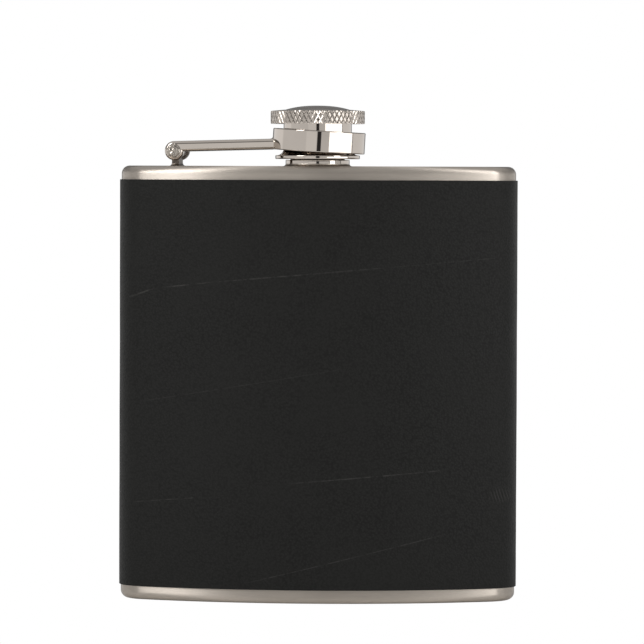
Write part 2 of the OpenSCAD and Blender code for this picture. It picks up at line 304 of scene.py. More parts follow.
def slab(side, half_width, edge, steps=4):
    """A plate cut to an outline in x and z, standing across the y axis, with its two faces' edges rounded.

    side gives the outline drawn in by a distance.
    """
    rings = []
    for face in (-1, 1):
        for i in range(steps + 1):
            turn = radians(90 * (steps - i if face < 0 else i) / steps)
            y = face * (half_width - edge * (1 - sin(turn)))
            rings.append([Vector((p.x, y, p.y)) for p in side(edge * (1 - cos(turn)))])
    return skin(rings, caps=True)


def publish(mesh, name, body, materials, nodes=(), crease=32):
    """Makes a mesh a piece: it rides on a body and stands for its CAD nodes."""
    data = bpy.data.meshes.new(name)
    mesh.to_mesh(data)
    mesh.free()
    for material in materials:
        data.materials.append(material)
    data.shade_smooth()
    data.set_sharp_from_angle(angle=radians(crease))
    piece = bpy.data.objects.new(name, data)
    bpy.context.scene.collection.objects.link(piece)
    even = piece.modifiers.new("even normals", "WEIGHTED_NORMAL")
    even.keep_sharp = True
    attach(piece, body)
    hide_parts(*nodes)
    return piece


def cut(mesh, tool):
    """Takes the tool's volume away from a mesh."""
    parts = []
    for label, source in (("work", mesh), ("tool", tool)):
        data = bpy.data.meshes.new(label)
        source.to_mesh(data)
        source.free()
        parts.append(bpy.data.objects.new(label, data))
        bpy.context.scene.collection.objects.link(parts[-1])
    work, cutter = parts
    boolean = work.modifiers.new("cut", "BOOLEAN")
    boolean.operation = "DIFFERENCE"
    boolean.solver = "EXACT"
    boolean.object = cutter
    graph = bpy.context.evaluated_depsgraph_get()
    result = bmesh.new()
    result.from_mesh(work.evaluated_get(graph).to_mesh())
    for part in parts:
        data = part.data
        bpy.data.objects.remove(part)
        bpy.data.meshes.remove(data)
    bmesh.ops.dissolve_degenerate(result, edges=result.edges, dist=1e-7)
    return result


# The flask's own shapes

def outline(inset=0.0, fine=1.0):
    """The body's outline drawn in by a distance, from the middle of the back round by the left end."""
    body = bpy.context.scene.flask_body
    end_x = SHELL_HIGH.x - body.end_r
    front = degrees(asin(end_x / (body.front_r - body.end_r)))
    back = degrees(asin(end_x / (body.back_r + body.end_r)))
    drop = body.front_r - (body.front_r - body.end_r) * cos(radians(front))
    thick = drop - body.back_r + (body.back_r + body.end_r) * cos(radians(back))
    front_y = -(drop + body.end_r) / 2
    end_y = front_y + drop
    back_y = front_y + thick + body.back_r
    arcs = (
        (0, back_y, body.back_r + inset, -90, -90 - back, 22),
        (-end_x, end_y, body.end_r - inset, 90 - back, 180, 16),
        (-end_x, end_y, body.end_r - inset, 180, 270 - front, 10),
        (0, front_y + body.front_r, body.front_r - inset, -90 - front, front - 90, 56),
        (end_x, end_y, body.end_r - inset, front - 90, 0, 10),
        (end_x, end_y, body.end_r - inset, 0, 90 + back, 16),
        (0, back_y, body.back_r + inset, back - 90, -90, 22),
    )
    points = []
    for x, y, r, start, end, steps in arcs:
        points += arc(x, y, r, start, end, ceil(steps * fine))[:-1]
    return points


def at_neck():
    """The place of the neck's axis on the top plate."""
    return Matrix.Translation((NECK_AXIS.x, NECK_AXIS.y, BODY_TOP))


def at_hinge():
    """The arm's own frame on the top plate: x runs from the pin to the cap and y along the pin."""
    heading = atan2(PIN_AXIS.x, -PIN_AXIS.y)
    return Matrix.Translation((PIN.x, PIN.y, BODY_TOP)) @ Matrix.Rotation(heading, 4, "Z")


def arm_length():
    """Distance from the pin to the neck's axis, seen from above."""
    return (NECK_AXIS.xy - PIN.xy).length


def at_ring():
    """The captive ring's own frame, tilted with it, at the middle of the ring."""
    height = (RING_LOW.z + RING_HIGH.z) / 2 - BODY_TOP
    arm = bpy.context.scene.flask_arm
    tilt = Matrix.Rotation(arm.ring_tilt, 4, "Y")
    return at_hinge() @ Matrix.Translation((arm_length() + arm.ring_shift, 0, height)) @ tilt


def ridge(t, height, spread=0.0):
    """How much of a thread's ridge stands at a heading and a height, from 0 to 1.

    The thread is right-handed and fades out at both ends. spread moves it along the axis.
    """
    neck = bpy.context.scene.flask_neck
    turn = (height - neck.thread_z - spread) / neck.thread_p
    lap = round(turn - t / (2 * pi))
    along = lap + t / (2 * pi)
    off = abs(turn - along) * neck.thread_p
    flank = (neck.ridge_root - neck.ridge_crest) / 2
    rise = min(1, max(0, (neck.ridge_root / 2 - off) / flank))
    fade = min(1, max(0, min(along, neck.turns - along) / 0.12))
    return rise * rise * (3 - 2 * rise) * fade


def fillet(inner, leg, steps=6):
    """The hollow section of a fillet between a wall at a radius and the floor, as radius and height."""
    sunk, low = 0.1 * MM, -0.02 * MM
    hollow = arc(inner + leg, leg, leg, 270, 180, steps)[1:]
    return [Vector((inner - sunk, low)), Vector((inner + leg, low)), *hollow, Vector((inner - sunk, leg))]


def plate_rings(top):
    """A pressed plate's rings of points, from its outer flat over the rolled edge and back inside."""
    body = bpy.context.scene.flask_body
    rim = PLATE_HIGH.z - PLATE_LOW.z
    lip, sag = body.plate_lip, SOFTENED * body.plate_lip
    section = [(body.edge_r - p.x, body.edge_r - p.y) for p in arc(0, 0, body.edge_r, 90, 0, 9)]
    section += [(0, rim - lip), (sag, rim - sag), (lip, rim), (body.plate_t - lip, rim),
                (body.plate_t, rim - lip)]
    inner = body.edge_r - body.plate_t
    section += [(body.edge_r - p.x, body.edge_r - p.y) for p in arc(0, 0, inner, 0, 90, 7)]
    rings = []
    for inset, depth in section:
        z = BODY_TOP - depth if top else depth
        rings.append([Vector((p.x, p.y, z)) for p in outline(inset)])
    return rings


def hole_ring(z, radius):
    """The edge of the neck's hole, with one point in line with each point of the plate's outline."""
    ring = []
    for p in outline(bpy.context.scene.flask_body.edge_r):
        way = (p - NECK_AXIS.xy).normalized()
        ring.append(Vector((*(NECK_AXIS.xy + way * radius), z)))
    return ring


# Materials

def add(tree, kind, inputs=(), give=0, **settings):
    """Adds a node and gives one of its outputs, by number or name.

    Its inputs are given by name, or in order in a row. Each is a value, or the output that feeds it.
    """
    node = tree.nodes.new("ShaderNode" + kind)
    for name, value in settings.items():
        setattr(node, name, value)
    for key, value in inputs.items() if isinstance(inputs, dict) else enumerate(inputs):
        if isinstance(value, bpy.types.NodeSocket):
            tree.links.new(value, node.inputs[key])
        else:
            node.inputs[key].default_value = value
    return node.outputs[give] if len(node.outputs) else None


def blank(name):
    """A new material and its empty node tree."""
    material = bpy.data.materials.new(name)
    material.use_nodes = True
    material.node_tree.nodes.clear()
    return material, material.node_tree


def surface(tree, inputs):
    """Ends a node tree with its shader."""
    add(tree, "OutputMaterial", {"Surface": add(tree, "BsdfPrincipled", inputs)})


def rgba(rgb, gain=1.0):
    """Linear red, green and blue as a colour input, made lighter or darker by a factor."""
    return (*[min(1.0, c * gain) for c in rgb], 1.0)


def grain(tree, spacing, stretch=(1, 1, 1), detail=3.0, rough=0.5, source=None):
    """Noise with features of a real size, drawn out along an axis where stretch is small."""
    if source is None:
        source = add(tree, "TexCoord", give="Object")
    scaled = add(tree, "VectorMath", (source, stretch), operation="MULTIPLY")
    return add(tree, "TexNoise", {"Vector": scaled, "Scale": 1 / spacing, "Detail": detail,
                                  "Roughness": rough})


def mottle(tree, pattern, low, high, one, two, most=1.0):
    """A colour that goes from one to another while a pattern rises from low to high.

    most says how far it goes.
    """
    how_far = add(tree, "MapRange", (pattern, low, high, 0.0, most))
    return add(tree, "Mix", {"Factor": how_far, "A": one, "B": two}, "Result", data_type="RGBA")


def smears(tree):
    """Smears and handling marks, from 0 to 1."""
    return add(tree, "MapRange", (grain(tree, 9 * MM, detail=4), 0.35, 0.7, 0.0, 1.0))


def lathe_marks(tree, spacing):
    """Fine rings round the neck's axis, as a turning tool leaves."""
    where = add(tree, "TexCoord", give="Object")
    off = add(tree, "VectorMath", (where, (NECK_AXIS.x, NECK_AXIS.y, 0)), operation="SUBTRACT")
    x, y, z = add(tree, "SeparateXYZ", (off,)).node.outputs
    flat = add(tree, "CombineXYZ", (x, y))
    radius = add(tree, "VectorMath", (flat,), "Value", operation="LENGTH")
    line = add(tree, "CombineXYZ", {"X": radius, "Z": z})
    return grain(tree, spacing, detail=2, source=line)


def satin_stainless():
    """304 stainless steel sheet, pressed and then brushed along its length with a 240 grit belt.

    The eye sees a soft grey sheen that stretches up and down, crossed by fine lines along the rim.
    """
    finish = bpy.context.scene.flask_finish
    material, tree = blank("satin_stainless")
    # The belt's scratches are 0.06 mm apart; the coarser of them are drawn 0.16 mm apart so that they show.
    lines = grain(tree, 0.16 * MM, (0.012, 0.35, 1), detail=4, rough=0.65)
    broad = grain(tree, 1.4 * MM, (0.03, 0.3, 1))
    tone = mottle(tree, broad, 0.3, 0.7, rgba(finish.satin, 0.93), rgba(finish.satin, 1.05))
    tone = mottle(tree, lines, 0.3, 0.75, tone, rgba(finish.satin, 0.8), most=0.55)
    brushed = add(tree, "MapRange", (lines, 0.3, 0.7, 0.36, 0.42))
    dulled = add(tree, "MapRange", (smears(tree), 0.0, 1.0, 0.0, 0.03))
    surface(tree, {"Base Color": tone, "Metallic": 1.0, "Anisotropic": 0.9, "Anisotropic Rotation": 0.25,
                   "Roughness": add(tree, "Math", (brushed, dulled), operation="ADD"),
                   "Tangent": add(tree, "Tangent", direction_type="RADIAL", axis="Z"),
                   "Normal": add(tree, "Bump", {"Height": lines, "Distance": 0.004 * MM, "Strength": 0.6})})
    return material


def polished_stainless():
    """304 stainless steel, turned or stamped and then buffed with compound.

    The eye sees a near mirror with a faint haze, a few wipe marks and the ghost of the tool's rings.
    """
    finish = bpy.context.scene.flask_finish
    material, tree = blank("polished_stainless")
    rings = lathe_marks(tree, 0.12 * MM)
    smear = smears(tree)
    hair = grain(tree, 0.2 * MM, (1, 1, 0.08))
    tone = add(tree, "Mix", {"Factor": smear, "A": rgba(finish.polished), "B": rgba(finish.polished, 0.93)},
               "Result", data_type="RGBA")
    hazed = add(tree, "MapRange", (smear, 0.0, 1.0, 0.03, 0.06))
    wiped = add(tree, "MapRange", (hair, 0.62, 0.78, 0.0, 0.06))
    surface(tree, {"Base Color": tone, "Metallic": 1.0,
                   "Roughness": add(tree, "Math", (hazed, wiped), operation="ADD"),
                   "Normal": add(tree, "Bump", {"Height": rings, "Distance": 0.0015 * MM, "Strength": 0.5})})
    return material


def knurled_stainless():
    """Stainless steel with a diamond knurl rolled in and buffed over.

    The eye sees bright crests and flanks. Its colour is painted darker in the grooves as painted shade, and
    a little lighter on the crests as painted highlight.
    """
    finish = bpy.context.scene.flask_finish
    material, tree = blank("knurled_stainless")
    crest = add(tree, "MapRange", (add(tree, "NewGeometry", give="Pointiness"), 0.44, 0.56, 0.0, 1.0))
    wear = grain(tree, 0.5 * MM)
    # Painted shade and highlight: a darkened copy of the steel in the knurl's grooves and a lightened one on
    # its crests, by the mesh's pointiness.
    tone = add(tree, "Mix", {"Factor": crest, "A": rgba(finish.polished, 0.55),
                             "B": rgba(finish.polished, 1.05)}, "Result", data_type="RGBA")
    buffed = add(tree, "MapRange", (crest, 0.0, 1.0, 0.22, 0.08))
    worn = add(tree, "MapRange", (wear, 0.3, 0.7, 0.0, 0.06))
    surface(tree, {"Base Color": tone, "Metallic": 1.0,
                   "Roughness": add(tree, "Math", (buffed, worn), operation="ADD"),
                   "Normal": add(tree, "Bump", {"Height": wear, "Distance": 0.006 * MM, "Strength": 0.5})})
    return material


def spun_crown_steel():
    """Stainless steel crown, spun to a dome and polished.

    The eye sees a smooth grey dome with rings too fine to count.
    """
    finish = bpy.context.scene.flask_finish
    material, tree = blank("spun_crown_steel")
    rings = lathe_marks(tree, 0.1 * MM)
    tone = add(tree, "Mix", {"Factor": smears(tree), "A": rgba(finish.polished, 0.92),
                             "B": rgba(finish.polished, 0.84)}, "Result", data_type="RGBA")
    surface(tree, {"Base Color": tone, "Metallic": 1.0,
                   "Roughness": add(tree, "MapRange", (rings, 0.3, 0.7, 0.12, 0.2)),
                   "Normal": add(tree, "Bump", {"Height": rings, "Distance": 0.002 * MM, "Strength": 0.5})})
    return material


def silver_braze():
    """Silver braze that ran into the joint and set, wiped but not polished.

    The eye sees a slightly warm, rippled bead with a duller sheen than the steel beside it.
    """
    finish = bpy.context.scene.flask_finish
    material, tree = blank("silver_braze")
    ripple = grain(tree, 0.8 * MM)
    tone = mottle(tree, ripple, 0.3, 0.7, rgba(finish.braze, 0.85), rgba(finish.braze, 1.05))
    surface(tree, {"Base Color": tone, "Metallic": 1.0,
                   "Roughness": add(tree, "MapRange", (ripple, 0.3, 0.7, 0.34, 0.44)),
                   "Normal": add(tree, "Bump", {"Height": ripple, "Distance": 0.015 * MM, "Strength": 0.4})})
    return material


def peened_pin_steel():
    """Stainless steel pin with its ends hammered over.

    The eye sees small bright facets and dark dents.
    """
    finish = bpy.context.scene.flask_finish
    material, tree = blank("peened_pin_steel")
    dents = add(tree, "TexVoronoi", {"Vector": add(tree, "TexCoord", give="Object"),
                                     "Scale": 1 / (0.75 * MM), "Smoothness": 0.5}, feature="SMOOTH_F1")
    tone = mottle(tree, dents, 0.15, 0.6, rgba(finish.pin), rgba(finish.pin, 0.72))
    surface(tree, {"Base Color": tone, "Metallic": 1.0,
                   "Roughness": add(tree, "MapRange", (dents, 0.1, 0.6, 0.14, 0.26)),
                   "Normal": add(tree, "Bump", {"Height": dents, "Distance": 0.12 * MM, "Strength": 0.7})})
    return material


def shade_painted_metal():
    """Steel and braze coloured dark as painted shade, for the hinge post between the knuckles and the braze
    at its foot under the arm.

    The eye sees a dull brown-grey metal, patchy, lighter where it was rubbed.
    """
    finish = bpy.context.scene.flask_finish
    material, tree = blank("shade_painted_metal")
    patch = grain(tree, 0.9 * MM, detail=4)
    # Painted shade: a dark brown-grey copy of the steel, mottled at random, for parts that sit in shade
    # between the knuckles.
    tone = mottle(tree, patch, 0.35, 0.65, rgba(finish.stain, 0.65), rgba(finish.stain, 1.3))
    surface(tree, {"Base Color": tone, "Metallic": 1.0,
                   "Roughness": add(tree, "MapRange", (patch, 0.3, 0.7, 0.3, 0.42)),
                   "Normal": add(tree, "Bump", {"Height": patch, "Distance": 0.01 * MM, "Strength": 0.5})})
    return material


def rolled_shell_steel():
    """Stainless steel sheet as it left the rolls, seen only where the wrap doesn't cover it.

    The eye sees a plain dull grey with a faint grain round the body.
    """
    finish = bpy.context.scene.flask_finish
    material, tree = blank("rolled_shell_steel")
    mill = grain(tree, 0.3 * MM, (0.05, 0.05, 1), detail=4)
    tone = mottle(tree, mill, 0.3, 0.7, rgba(finish.satin, 0.85), rgba(finish.satin, 1.0))
    surface(tree, {"Base Color": tone, "Metallic": 1.0,
                   "Roughness": add(tree, "MapRange", (mill, 0.3, 0.7, 0.34, 0.44)),
                   "Normal": add(tree, "Bump", {"Height": mill, "Distance": 0.005 * MM, "Strength": 0.5})})
    return material


# Hairline scuffs on the front of the wrap: from x and z to x and z and the width, all in mm, and strength.
SCUFFS = (
    (-46.7, 72.0, -38.2, 74.9, 0.24, 0.14),
    (-36.5, 75.0, -24.0, 76.4, 0.2, 0.15),
    (-24.0, 76.4, 17.0, 80.0, 0.2, 0.11),
    (17.0, 80.0, 44.5, 82.4, 0.16, 0.05),
    (-43.0, 47.5, 7.0, 56.0, 0.16, 0.05),
    (-7.0, 28.6, 30.5, 31.8, 0.18, 0.12),
    (-46.5, 23.3, -26.0, 25.2, 0.16, 0.09),
    (-17.0, 4.7, 32.0, 16.8, 0.16, 0.09),
)
SCUFF_FADE = 3 * MM  # length over which a scuff dies away at each end
# A patch of short parallel rubs near the right end, in mm: x and z of its middle, its half sizes, spacing.
RUBS = (44.0, 25.6, 3.0, 2.0, 0.7)
RUBS_LEAN = radians(17)
RUBS_STRENGTH = 0.07


def scuff_line(tree, flat, x0, z0, x1, z1, width, strength):
    """One hairline scuff, from 0 to its strength, faded at both ends."""
    start = Vector((x0, 0, z0)) * MM
    run = Vector((x1, 0, z1)) * MM - start
    way = run.normalized()
    side = Vector((-way.z, 0, way.x))
    off = add(tree, "VectorMath", (flat, start), operation="SUBTRACT")
    along = add(tree, "VectorMath", (off, way), "Value", operation="DOT_PRODUCT")
    across = add(tree, "VectorMath", (off, side), "Value", operation="DOT_PRODUCT")
    apart = add(tree, "Math", (across,), operation="ABSOLUTE")
    line = add(tree, "MapRange", (apart, 0.25 * width * MM, width * MM, strength, 0.0))
    head = add(tree, "MapRange", (along, 0.0, SCUFF_FADE, 0.0, 1.0))
    tail = add(tree, "MapRange", (along, run.length - SCUFF_FADE, run.length, 1.0, 0.0))
    ends = add(tree, "Math", (head, tail), operation="MULTIPLY")
    return add(tree, "Math", (line, ends), operation="MULTIPLY")


def rubbed_patch(tree, flat):
    """The patch of short parallel rubs, from 0 to its strength."""
    x, z, half_x, half_z, spacing = RUBS
    off = add(tree, "VectorMath", (flat, Vector((x, 0, z)) * MM), operation="SUBTRACT")
    stroke = Vector((cos(RUBS_LEAN), 0, sin(RUBS_LEAN)))
    across = add(tree, "VectorMath", (off, stroke), "Value", operation="DOT_PRODUCT")
    turn = add(tree, "Math", (across, 2 * pi / (spacing * MM)), operation="MULTIPLY")
    wave = add(tree, "Math", (turn,), operation="SINE")
    shape = Vector((1 / half_x, 0, 1 / half_z)) / MM
    scaled = add(tree, "VectorMath", (off, shape), operation="MULTIPLY")
    out = add(tree, "VectorMath", (scaled,), "Value", operation="LENGTH")
    strokes = add(tree, "MapRange", (wave, 0.3, 0.95, 0.0, 1.0))
    patch = add(tree, "MapRange", (out, 0.5, 1.1, RUBS_STRENGTH, 0.0))
    return add(tree, "Math", (strokes, patch), operation="MULTIPLY")


def scuff_marks(tree, flat):
    """All the wrap's scuffs and rubs, from the front's x and z."""
    breaks = add(tree, "MapRange", (grain(tree, 2.2 * MM, detail=5, rough=0.75), 0.4, 0.62, 0.0, 1.0))
    total = scuff_line(tree, flat, *SCUFFS[0])
    for row in SCUFFS[1:]:
        total = add(tree, "Math", (total, scuff_line(tree, flat, *row)), operation="MAXIMUM")
    broken = add(tree, "Math", (total, breaks), operation="MULTIPLY")
    return add(tree, "Math", (broken, rubbed_patch(tree, flat)), operation="MAXIMUM")


def black_leatherette():
    """PVC leatherette, 0.4 mm thick, embossed with a fine even grain and glued round the body.

    The eye sees a matt near-black with a tight pebble, a weak sheen, and pale hairlines where it was
    rubbed.
    """
    finish = bpy.context.scene.flask_finish
    material, tree = blank("black_leatherette")
    where = add(tree, "TexCoord", give="Object")
    # The pebble is 0.35 mm across; it is drawn 0.5 mm across so that it shows.
    cells = add(tree, "TexVoronoi", {"Vector": where, "Scale": 1 / (0.5 * MM), "Randomness": 1.0,
                                     "Smoothness": 0.6}, feature="SMOOTH_F1")
    pores = grain(tree, 0.16 * MM, rough=0.6)
    cloud = grain(tree, 14 * MM, detail=4)
    x, _, z = add(tree, "SeparateXYZ", (where,)).node.outputs
    flat = add(tree, "CombineXYZ", {"X": x, "Z": z})
    facing = add(tree, "SeparateXYZ", (add(tree, "NewGeometry", give="True Normal"),), "Y")
    on_front = add(tree, "MapRange", (facing, -0.3, -0.1, 1.0, 0.0))
    scuffs = add(tree, "Math", (scuff_marks(tree, flat), on_front), operation="MULTIPLY")
    tone = mottle(tree, cloud, 0.3, 0.7, rgba(finish.leather, 0.85), rgba(finish.leather, 1.15))
    tone = mottle(tree, cells, 0.2, 0.75, rgba(finish.leather, 1.45), tone)
    tone = mottle(tree, pores, 0.5, 0.75, tone, rgba(finish.leather, 0.4), most=0.5)
    tone = add(tree, "Mix", {"Factor": scuffs, "A": tone, "B": rgba(finish.scuff)}, "Result",
               data_type="RGBA")
    embossed = add(tree, "MapRange", (cells, 0.1, 0.8, 0.42, 0.52))
    handled = add(tree, "MapRange", (cloud, 0.3, 0.7, -0.03, 0.05))
    pebble = add(tree, "Math", (1.0, cells), operation="SUBTRACT")
    ground = add(tree, "Bump", {"Height": pebble, "Distance": 0.05 * MM, "Strength": 0.75})
    ground = add(tree, "Bump", {"Height": pores, "Distance": 0.012 * MM, "Strength": 0.5, "Normal": ground})
    surface(tree, {"Base Color": tone, "IOR": 1.53, "Specular IOR Level": 0.09, "Normal": ground,
                   "Roughness": add(tree, "Math", (embossed, handled), operation="ADD")})
    return material


def leatherette_backing():
    """Pressed cotton backing of the leatherette, seen at its cut edges.

    The eye sees a thin dull grey line with loose fibres.
    """
    finish = bpy.context.scene.flask_finish
    material, tree = blank("leatherette_backing")
    fibres = grain(tree, 0.12 * MM, (1, 1, 0.3), detail=4, rough=0.7)
    tone = mottle(tree, fibres, 0.3, 0.7, rgba(finish.backing, 0.6), rgba(finish.backing, 1.4))
    surface(tree, {"Base Color": tone, "Roughness": 0.92, "IOR": 1.5, "Sheen Weight": 0.2,
                   "Normal": add(tree, "Bump", {"Height": fibres, "Distance": 0.04 * MM, "Strength": 0.7})})
    return material


def moulded_polypropylene():
    """Off-white polypropylene, injection moulded.

    The eye sees a waxy, slightly translucent white with faint flow marks.
    """
    finish = bpy.context.scene.flask_finish
    material, tree = blank("moulded_polypropylene")
    flow = grain(tree, 2.5 * MM)
    fine = grain(tree, 0.15 * MM, detail=2)
    tone = mottle(tree, flow, 0.3, 0.7, rgba(finish.liner, 0.93), rgba(finish.liner, 1.03))
    surface(tree, {"Base Color": tone, "Roughness": add(tree, "MapRange", (flow, 0.3, 0.7, 0.32, 0.42)),
                   "IOR": 1.49, "Subsurface Weight": 0.25, "Subsurface Scale": 1.0,
                   "Subsurface Radius": (0.8 * MM, 0.7 * MM, 0.6 * MM),
                   "Normal": add(tree, "Bump", {"Height": fine, "Distance": 0.006 * MM, "Strength": 0.4})})
    return material


def pressed_silicone():
    """Food-grade silicone rubber, stamped from sheet.

    The eye sees a soft matt disc with a bloom of dust and a light cloth texture.
    """
    finish = bpy.context.scene.flask_finish
    material, tree = blank("pressed_silicone")
    bloom = grain(tree, 1.6 * MM, detail=4)
    cloth = grain(tree, 0.2 * MM, detail=2)
    tone = mottle(tree, bloom, 0.3, 0.7, rgba(finish.rubber, 0.88), rgba(finish.rubber, 1.05))
    surface(tree, {"Base Color": tone, "Roughness": add(tree, "MapRange", (bloom, 0.3, 0.7, 0.5, 0.62)),
                   "IOR": 1.41, "Subsurface Weight": 0.15, "Subsurface Scale": 1.0,
                   "Subsurface Radius": (0.6 * MM, 0.6 * MM, 0.5 * MM),
                   "Normal": add(tree, "Bump", {"Height": cloth, "Distance": 0.01 * MM, "Strength": 0.4})})
    return material


def painted_floor():
    """Matt white studio paint, lit so evenly that it looks plain white.

    The eye sees an even white ground with no shade in it, and pale bounced light on the flask.
    """
    finish = bpy.context.scene.flask_finish
    material, tree = blank("painted_floor")
    roll = grain(tree, 2 * MM, detail=2)
    tone = mottle(tree, roll, 0.3, 0.7, rgba(finish.floor, 0.96), rgba(finish.floor, 1.0))
    paint = add(tree, "BsdfDiffuse", {"Color": tone})
    glow = add(tree, "Emission", {"Color": (1, 1, 1, 1), "Strength": 1.0})
    seen = add(tree, "LightPath", give="Is Camera Ray")
    add(tree, "OutputMaterial", {"Surface": add(tree, "MixShader", (seen, paint, glow))})
    return material


def finish_of(make):
    """The material that a function makes under its own name, made once."""
    return bpy.data.materials.get(make.__name__) or make()


# Operators, one for each piece or group of like pieces

class FLASK_OT_shell(bpy.types.Operator):
    """Gives the body's steel tube its finish"""
    bl_idname = "flask.shell"
    bl_label = "Finish shell"

    def execute(self, context):
        shell = frame["nodes"]["body_shell"]
        shell.data.materials.clear()
        shell.data.materials.append(finish_of(rolled_shell_steel))
        return {"FINISHED"}


class FLASK_OT_plates(bpy.types.Operator):
    """Builds the two pressed end plates with their rolled edges"""
    bl_idname = "flask.plates"
    bl_label = "Build end plates"

    def execute(self, context):
        body, neck = context.scene.flask_body, context.scene.flask_neck
        steel = [finish_of(satin_stainless)]
        base = skin(plate_rings(False), caps=True)
        publish(base, "bottom_plate_pressed", "flask", steel, ["bottom_plate"])
        radius = neck.spigot_r + neck.hole_gap
        rings = plate_rings(True)
        for z in (BODY_TOP - body.plate_t, BODY_TOP):
            edge = hole_ring(z, radius)
            flat = rings[-1] if z < BODY_TOP else rings[0]
            between = [[a.lerp(b, k / 3) for a, b in zip(flat, edge)] for k in (1, 2)]
            rings += [*between, edge] if z < BODY_TOP else [edge, *between[::-1]]
        lid = skin(rings, section=True)
        publish(lid, "top_plate_pressed", "flask", steel, ["top_plate"])
        return {"FINISHED"}


class FLASK_OT_wrap(bpy.types.Operator):
    """Builds the leatherette: one sheet round the body, butted down the middle of the back"""
    bl_idname = "flask.wrap"
    bl_label = "Build wrap"
    SEAM_REACH = 2.5 * MM  # how far from the seam the sheet lies flat again
    SOFT_WAVES = 55  # long waves of the wrap's unevenness in a metre
    FINE_WAVES = 160  # and short ones

    def execute(self, context):
        body = context.scene.flask_body
        thick = SHELL_LOW.x - WRAP_LOW.x
        low, high = WRAP_LOW.z, WRAP_HIGH.z
        edge, sag = body.wrap_edge, SOFTENED * body.wrap_edge
        rows = 40
        section = [(0, low), (thick - edge, low), (thick - sag, low + sag)]
        section += [(thick, low + edge + (high - low - 2 * edge) * k / rows) for k in range(rows + 1)]
        section += [(thick - sag, high - sag), (thick - edge, high), (0, high)]
        rings = [self.sheet_ring(out, z, thick) for out, z in section]
        sheet = skin(rings, around=False, section=True, caps=True)
        for face in sheet.faces:
            at_edge = abs(face.normal.z) > 0.9 or len(face.verts) > 4
            face.material_index = 1 if at_edge else 0
        materials = [finish_of(black_leatherette), finish_of(leatherette_backing)]
        piece = publish(sheet, "leatherette_wrap", "flask", materials, ["leather_wrap"], 50)
        middle = self.sheet_path(thick / 2)
        return {"FINISHED"}

    def sheet_ring(self, out, z, thick):
        """The sheet at a distance outside the shell and a height, with its lifted seam and soft waves."""
        body = bpy.context.scene.flask_body
        ring = []
        for base, face in zip(self.sheet_path(0), self.sheet_path(out)):
            point = Vector((*face, z))
            if out > 0.9 * thick:
                seam = max(0, 1 - (base.x / self.SEAM_REACH) ** 2) if base.y > 0 else 0
                wave = noise.noise(point * self.SOFT_WAVES) + 0.5 * noise.noise(point * self.FINE_WAVES)
                way = Vector((*(face - base).normalized(), 0))
                point += way * (seam * body.wrap_lift + wave * body.wrap_wave)
            ring.append(point)
        return ring

    @staticmethod
    def sheet_path(out):
        """The sheet's path round the body, at a distance outside it, from one cut edge to the other."""
        gap = bpy.context.scene.flask_body.wrap_seam
        ring = outline(-out, 1.6)
        ends = [Vector((side * gap / 2, ring[0].y)) for side in (-1, 1)]
        return [ends[0], *ring[1:], ends[1]]


class FLASK_OT_neck(bpy.types.Operator):
    """Builds the threaded neck and the braze at its foot"""
    bl_idname = "flask.neck"
    bl_label = "Build neck"

    def execute(self, context):
        neck, cap = context.scene.flask_neck, context.scene.flask_cap
        root = neck.thread_r - neck.thread_d
        height, foot = NECK_HIGH.z - BODY_TOP, NECK_LOW.z - BODY_TOP
        shoulder = (NECK_HIGH.x - NECK_LOW.x) / 2
        chamfer, corner, rim = 0.1 * MM, 0.35 * MM, 0.12 * MM
        start, stop = neck.shoulder_h + corner, height - neck.lead_in
        rows = ceil((stop - start) / THREAD_STEP)
        profile = [(neck.bore_r, foot), (neck.spigot_r - chamfer, foot), (neck.spigot_r, foot + chamfer),
                   (neck.spigot_r, 0), (shoulder, 0), (shoulder, neck.shoulder_h - cap.edge)]
        profile += arc(shoulder - cap.edge, neck.shoulder_h - cap.edge, cap.edge, 0, 90, 4)[1:]
        profile += arc(root + corner, start, corner, 270, 180, 5)
        profile += [(root, start + (stop - start) * k / rows) for k in range(1, rows + 1)]
        profile += arc(root - rim, height - rim, rim, 0, 90, 4)
        profile += [(neck.bore_r + neck.lead_in / 2, height), (neck.bore_r, height - neck.lead_in),
                    (neck.bore_r, 0.5 * height), (neck.bore_r, 0)]

        def thread(t, radius, z):
            on_root = abs(radius - root) < SAME and start < z <= stop
            return neck.thread_d * ridge(t, z) if on_root else 0

        spout = turned(profile, 180, at_neck(), thread)
        publish(spout, "neck_threaded", "flask", [finish_of(polished_stainless)],
                ["neck"])

        def uneven(t, radius, z):
            way = Vector((cos(t), sin(t), 0))
            return 0.1 * (radius - shoulder) * noise.noise(way * 2) if radius > shoulder else 0

        bead = turned(fillet(shoulder, neck.weld), 144, at_neck(), uneven)
        publish(bead, "neck_braze", "flask", [finish_of(silver_braze)], ["neck_weld"], 60)
        return {"FINISHED"}


